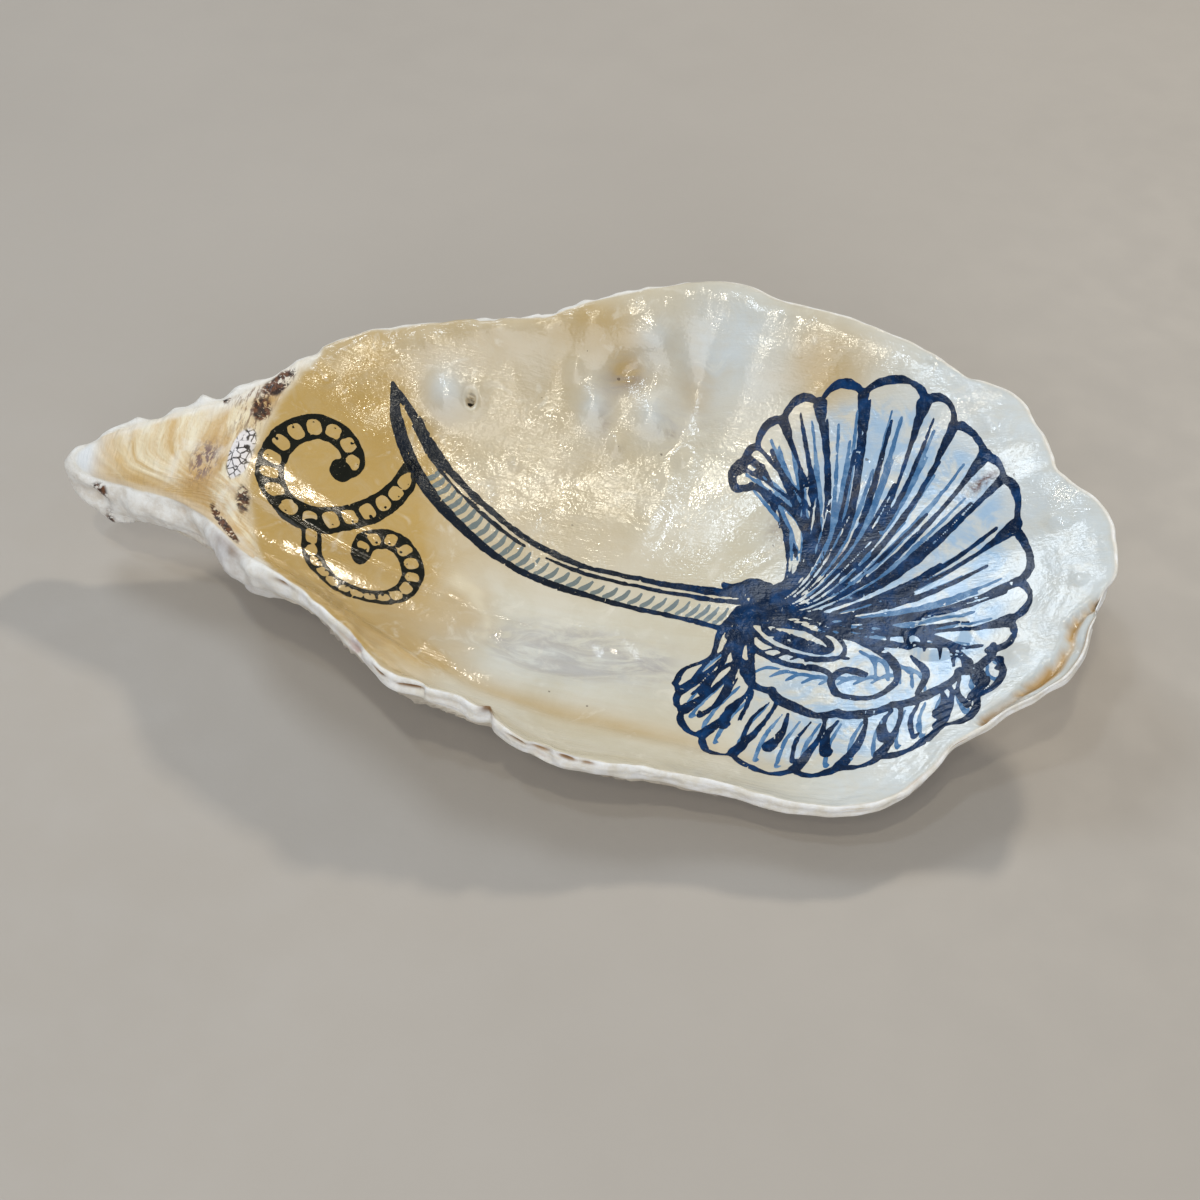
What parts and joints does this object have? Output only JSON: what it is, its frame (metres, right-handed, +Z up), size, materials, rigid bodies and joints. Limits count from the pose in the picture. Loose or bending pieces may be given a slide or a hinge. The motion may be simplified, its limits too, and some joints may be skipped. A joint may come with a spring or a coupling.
{
  "type": "oyster shell",
  "caption": "Cupped half of a long oyster shell lying open side up: a wavy-edged shallow dish with a solid beak at the hinge end.",
  "frame": {"origin": "on the surface that the shell rests on, under the middle of its outline", "axes": "+X from the hinge end's beak to the far lip, the longest way; +Y towards the high side of the bowl; +Z up"},
  "size_m": [0.1372, 0.0702, 0.031],
  "materials": {
    "shell": "varnished cream nacre inside with a blue-black ink drawing, chalky ridged cream and grey outside"
  },
  "bodies": {
    "root": {"oyster_shell": "shell"}
  },
  "joints": []
}
